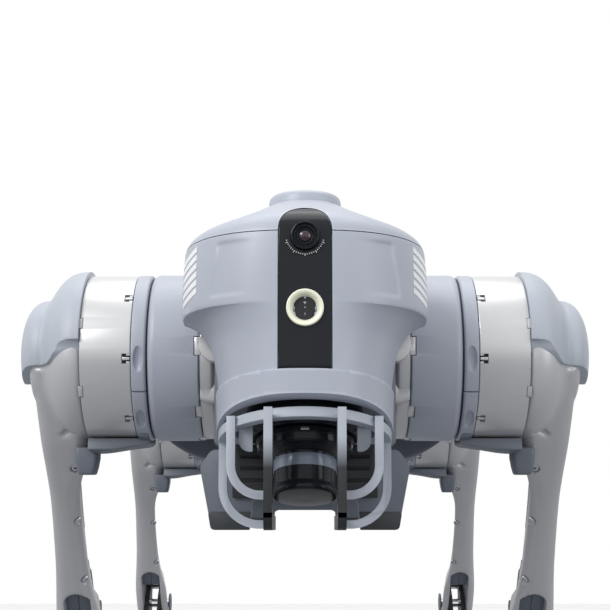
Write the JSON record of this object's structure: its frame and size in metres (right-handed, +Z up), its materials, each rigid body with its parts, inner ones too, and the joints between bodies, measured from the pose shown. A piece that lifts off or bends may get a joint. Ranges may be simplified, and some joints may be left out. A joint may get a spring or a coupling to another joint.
{
  "type": "quadruped robot",
  "caption": "Compact four-legged walking robot with hip roll, hip pitch and rod-driven knee joints, a camera head and a spinning laser scanner under its chin.",
  "frame": {"origin": "on the ground, under the middle of the object's box, in its standing pose", "axes": "+Z up, the robot faces -Y, its left side is +X"},
  "size_m": [0.3214, 0.6882, 0.4321],
  "materials": {
    "blue_grey_plastic": "satin, fine moulded grain",
    "dark_blue_plastic": "matte, fine moulded grain",
    "battery_plastic": "matte",
    "silver_paint": "satin silver paint",
    "gloss_black": "high gloss",
    "lamp_lens": "clear, cream reflector behind",
    "polished_steel": "polished",
    "black_paint": "satin black paint",
    "black_rubber": "matte"
  },
  "bodies": {
    "trunk": {"trunk_frame": "dark_blue_plastic", "top_cover": "blue_grey_plastic", "belly_cover": "dark_blue_plastic", "battery": "battery_plastic", "rear_cover": "blue_grey_plastic", "head_shell": "blue_grey_plastic", "head_hood": "blue_grey_plastic", "head_cap": "blue_grey_plastic", "face_window": "gloss_black", "camera_lens": "gloss_black", "headlight": "lamp_lens", "collar": "blue_grey_plastic", "scanner_base": "gloss_black", "scanner_guard": "blue_grey_plastic"},
    "scanner_rotor": {"scanner_rotor": "gloss_black"},
    "power_button": {"power_button": "silver_paint"},
    "front_left_hip": {"fl_hip_casting": "silver_paint", "fl_hip_housing": "blue_grey_plastic"},
    "front_left_thigh": {"fl_clamp_ring": "blue_grey_plastic", "fl_calf_motor": "silver_paint", "fl_thigh_shell": "silver_paint", "fl_shoulder_guard": "blue_grey_plastic", "fl_knee_pin": "polished_steel"},
    "front_left_shin": {"fl_shin": "black_paint", "fl_foot": "black_rubber"},
    "front_left_crank": {"fl_crank": "polished_steel"},
    "front_left_rod": {"fl_push_rod": "polished_steel"},
    "front_right_hip": {"fr_hip_casting": "silver_paint", "fr_hip_housing": "blue_grey_plastic"},
    "front_right_thigh": {"fr_clamp_ring": "blue_grey_plastic", "fr_calf_motor": "silver_paint", "fr_thigh_shell": "silver_paint", "fr_shoulder_guard": "blue_grey_plastic", "fr_knee_pin": "polished_steel"},
    "front_right_shin": {"fr_shin": "black_paint", "fr_foot": "black_rubber"},
    "front_right_crank": {"fr_crank": "polished_steel"},
    "front_right_rod": {"fr_push_rod": "polished_steel"},
    "rear_left_hip": {"rl_hip_casting": "silver_paint", "rl_hip_housing": "blue_grey_plastic"},
    "rear_left_thigh": {"rl_clamp_ring": "blue_grey_plastic", "rl_calf_motor": "silver_paint", "rl_thigh_shell": "silver_paint", "rl_shoulder_guard": "blue_grey_plastic", "rl_knee_pin": "polished_steel"},
    "rear_left_shin": {"rl_shin": "black_paint", "rl_foot": "black_rubber"},
    "rear_left_crank": {"rl_crank": "polished_steel"},
    "rear_left_rod": {"rl_push_rod": "polished_steel"},
    "rear_right_hip": {"rr_hip_casting": "silver_paint", "rr_hip_housing": "blue_grey_plastic"},
    "rear_right_thigh": {"rr_clamp_ring": "blue_grey_plastic", "rr_calf_motor": "silver_paint", "rr_thigh_shell": "silver_paint", "rr_shoulder_guard": "blue_grey_plastic", "rr_knee_pin": "polished_steel"},
    "rear_right_shin": {"rr_shin": "black_paint", "rr_foot": "black_rubber"},
    "rear_right_crank": {"rr_crank": "polished_steel"},
    "rear_right_rod": {"rr_push_rod": "polished_steel"}
  },
  "joints": [
    {"name": "scanner_spin", "type": "hinge", "parent": "trunk", "child": "scanner_rotor", "pos_m": [0, -0.2981, 0.31423], "axis": [0, 0.2605, 0.9655], "continuous": true},
    {"name": "power_press", "type": "slide", "parent": "trunk", "child": "power_button", "axis": [-1, 0, 0], "range_m": [0, 0.0015], "stiffness_N_per_m": 400, "springref_m": -0.002},
    {"name": "front_left_roll", "type": "hinge", "parent": "trunk", "child": "front_left_hip", "pos_m": [0.0465, -0.203, 0.36103], "axis": [0, -1, 0], "range_deg": [-37, 48]},
    {"name": "front_left_pitch", "type": "hinge", "parent": "front_left_hip", "child": "front_left_thigh", "pos_m": [0.1425, -0.203, 0.36103], "axis": [1, 0, 0], "range_deg": [-128, 60]},
    {"name": "front_left_knee", "type": "hinge", "parent": "front_left_thigh", "child": "front_left_shin", "pos_m": [0.1425, -0.0707, 0.1941], "axis": [1, 0, 0], "range_deg": [-68, 26.5]},
    {"name": "front_left_crank_turn", "type": "hinge", "parent": "front_left_thigh", "child": "front_left_crank", "pos_m": [0.1425, -0.203, 0.36103], "axis": [1, 0, 0], "range_deg": [-70, 28]},
    {"name": "front_left_rod_swing", "type": "hinge", "parent": "front_left_shin", "child": "front_left_rod", "pos_m": [0.1425, -0.06253, 0.21236], "axis": [1, 0, 0], "range_deg": [-28, 70]},
    {"name": "front_right_roll", "type": "hinge", "parent": "trunk", "child": "front_right_hip", "pos_m": [-0.0465, -0.203, 0.36103], "axis": [0, -1, 0], "range_deg": [-48, 37]},
    {"name": "front_right_pitch", "type": "hinge", "parent": "front_right_hip", "child": "front_right_thigh", "pos_m": [-0.1425, -0.203, 0.36103], "axis": [1, 0, 0], "range_deg": [-128, 60]},
    {"name": "front_right_knee", "type": "hinge", "parent": "front_right_thigh", "child": "front_right_shin", "pos_m": [-0.1425, -0.0707, 0.1941], "axis": [1, 0, 0], "range_deg": [-68, 26.5]},
    {"name": "front_right_crank_turn", "type": "hinge", "parent": "front_right_thigh", "child": "front_right_crank", "pos_m": [-0.1425, -0.203, 0.36103], "axis": [1, 0, 0], "range_deg": [-70, 28]},
    {"name": "front_right_rod_swing", "type": "hinge", "parent": "front_right_shin", "child": "front_right_rod", "pos_m": [-0.1425, -0.06253, 0.21236], "axis": [1, 0, 0], "range_deg": [-28, 70]},
    {"name": "rear_left_roll", "type": "hinge", "parent": "trunk", "child": "rear_left_hip", "pos_m": [0.0465, 0.1838, 0.36103], "axis": [0, -1, 0], "range_deg": [-37, 48]},
    {"name": "rear_left_pitch", "type": "hinge", "parent": "rear_left_hip", "child": "rear_left_thigh", "pos_m": [0.1425, 0.1838, 0.36103], "axis": [1, 0, 0], "range_deg": [-45, 140]},
    {"name": "rear_left_knee", "type": "hinge", "parent": "rear_left_thigh", "child": "rear_left_shin", "pos_m": [0.1425, 0.3161, 0.1941], "axis": [1, 0, 0], "range_deg": [-68, 26.5]},
    {"name": "rear_left_crank_turn", "type": "hinge", "parent": "rear_left_thigh", "child": "rear_left_crank", "pos_m": [0.1425, 0.1838, 0.36103], "axis": [1, 0, 0], "range_deg": [-70, 28]},
    {"name": "rear_left_rod_swing", "type": "hinge", "parent": "rear_left_shin", "child": "rear_left_rod", "pos_m": [0.1425, 0.32427, 0.21236], "axis": [1, 0, 0], "range_deg": [-28, 70]},
    {"name": "rear_right_roll", "type": "hinge", "parent": "trunk", "child": "rear_right_hip", "pos_m": [-0.0465, 0.1838, 0.36103], "axis": [0, -1, 0], "range_deg": [-48, 37]},
    {"name": "rear_right_pitch", "type": "hinge", "parent": "rear_right_hip", "child": "rear_right_thigh", "pos_m": [-0.1425, 0.1838, 0.36103], "axis": [1, 0, 0], "range_deg": [-45, 140]},
    {"name": "rear_right_knee", "type": "hinge", "parent": "rear_right_thigh", "child": "rear_right_shin", "pos_m": [-0.1425, 0.3161, 0.1941], "axis": [1, 0, 0], "range_deg": [-68, 26.5]},
    {"name": "rear_right_crank_turn", "type": "hinge", "parent": "rear_right_thigh", "child": "rear_right_crank", "pos_m": [-0.1425, 0.1838, 0.36103], "axis": [1, 0, 0], "range_deg": [-70, 28]},
    {"name": "rear_right_rod_swing", "type": "hinge", "parent": "rear_right_shin", "child": "rear_right_rod", "pos_m": [-0.1425, 0.32427, 0.21236], "axis": [1, 0, 0], "range_deg": [-28, 70]}
  ],
  "couplings": [
    {"joint": "front_left_crank_turn", "follows": "front_left_knee", "ratio": 1},
    {"joint": "front_left_rod_swing", "follows": "front_left_knee", "ratio": -1},
    {"joint": "front_right_crank_turn", "follows": "front_right_knee", "ratio": 1},
    {"joint": "front_right_rod_swing", "follows": "front_right_knee", "ratio": -1},
    {"joint": "rear_left_crank_turn", "follows": "rear_left_knee", "ratio": 1},
    {"joint": "rear_left_rod_swing", "follows": "rear_left_knee", "ratio": -1},
    {"joint": "rear_right_crank_turn", "follows": "rear_right_knee", "ratio": 1},
    {"joint": "rear_right_rod_swing", "follows": "rear_right_knee", "ratio": -1}
  ]
}
